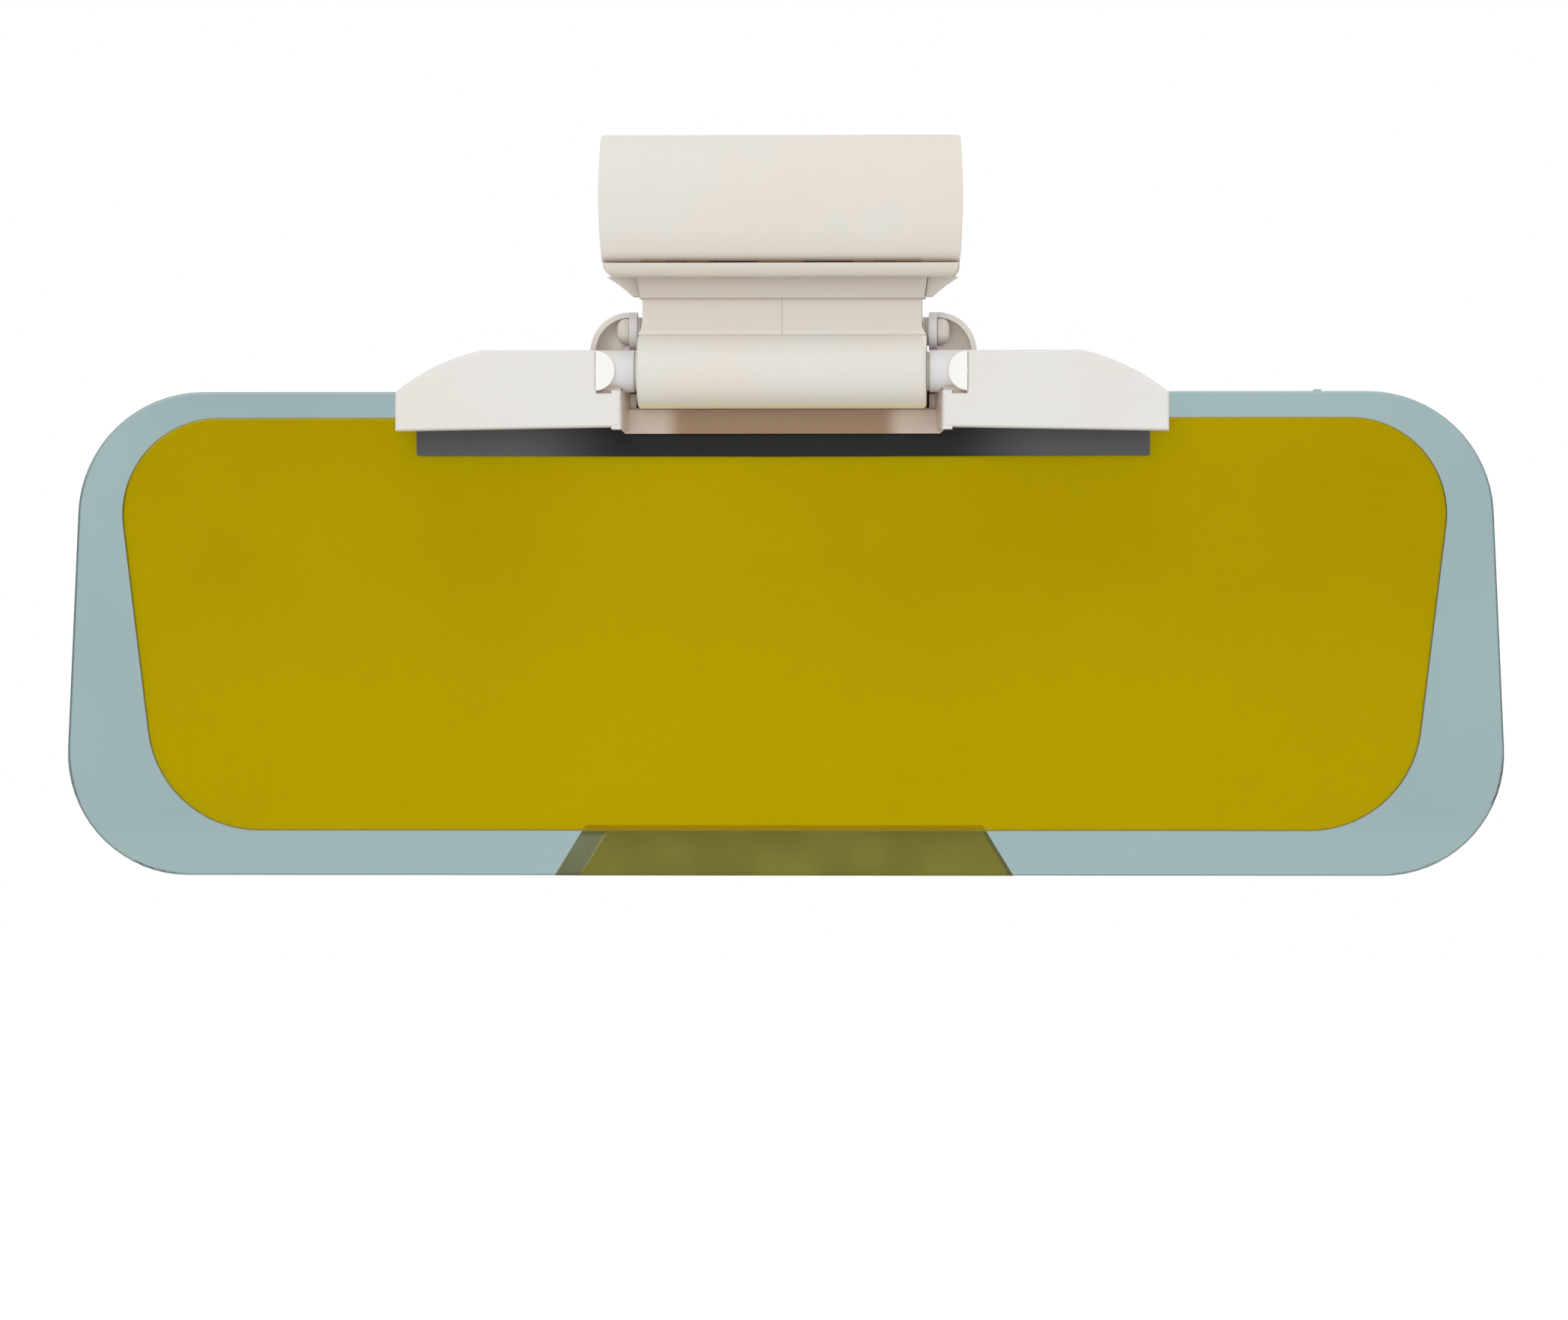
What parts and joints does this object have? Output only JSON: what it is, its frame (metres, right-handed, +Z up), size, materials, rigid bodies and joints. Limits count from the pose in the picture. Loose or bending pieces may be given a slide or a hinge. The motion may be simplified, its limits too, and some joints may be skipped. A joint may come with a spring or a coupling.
{
  "type": "clip-on car sun visor",
  "caption": "Spring clip for a car's sun visor that carries a yellow night lens and a larger grey-blue day lens, each on its own friction hinge.",
  "frame": {"origin": "middle of the rear jaw pad's gripping face", "axes": "+X along the lenses, -Y out of the rear pad's face towards the driver, +Z up out of the clip's mouth"},
  "size_m": [0.3202, 0.0306, 0.1637],
  "materials": {
    "clip_plastic": "satin moulded ABS",
    "holder_plastic": "satin moulded ABS, whiter than the clip",
    "pad_rubber": "matt ribbed rubber",
    "gasket_rubber": "smooth dark strip",
    "pin_steel": "ground steel",
    "screw_steel": "zinc-plated steel",
    "spring_steel": "drawn spring wire",
    "bush_nylon": "natural nylon",
    "clamp_bar_plastic": "dark matt ABS",
    "night_tint": "polished yellow-tinted acrylic",
    "day_tint": "polished grey-blue-tinted acrylic",
    "tab_tint": "olive translucent acrylic"
  },
  "bodies": {
    "clamp": {"rear_jaw": "clip_plastic", "rear_jaw_pad": "pad_rubber", "jaw_hinge_pin": "pin_steel", "jaw_spring_left": "spring_steel", "jaw_spring_right": "spring_steel", "neck_left_half": "clip_plastic", "neck_right_half": "clip_plastic", "neck_collar": "clip_plastic", "neck_screws": "screw_steel", "barrel_core": "clip_plastic", "barrel_cover": "clip_plastic", "night_pivot_shaft": "pin_steel", "night_friction_washers": "bush_nylon", "day_pivot_shaft": "pin_steel", "day_friction_washers": "bush_nylon", "day_shaft_caps": "clip_plastic"},
    "front_jaw": {"front_jaw_cover": "clip_plastic", "front_jaw_plate": "clip_plastic", "front_jaw_pad": "pad_rubber", "front_jaw_screws": "screw_steel"},
    "night_shield": {"night_holder": "holder_plastic", "night_lens": "night_tint", "night_lens_gasket": "gasket_rubber", "night_clamp_bar": "clamp_bar_plastic", "night_clamp_screws": "screw_steel", "night_pivot_bushes": "bush_nylon"},
    "day_shield": {"day_holder": "holder_plastic", "day_lens": "day_tint", "day_lens_gasket": "gasket_rubber", "day_clamp_bar": "clamp_bar_plastic", "day_clamp_screws": "screw_steel", "day_lens_finger_tab": "tab_tint"}
  },
  "joints": [
    {"name": "jaw_hinge", "type": "hinge", "parent": "clamp", "child": "front_jaw", "pos_m": [0, -0.0086, -0.01125], "axis": [1, 0, 0], "range_deg": [0, 35], "stiffness_Nm_per_rad": 0.15, "springref_deg": -45.84, "deforming": ["jaw_spring_left", "jaw_spring_right"]},
    {"name": "night_lens_hinge", "type": "hinge", "parent": "clamp", "child": "night_shield", "pos_m": [0, 0, -0.0385], "axis": [-1, 0, 0], "range_deg": [0, 150]},
    {"name": "day_lens_hinge", "type": "hinge", "parent": "clamp", "child": "day_shield", "pos_m": [0, 0.0074, -0.02945], "axis": [1, 0, 0], "range_deg": [0, 120]}
  ]
}
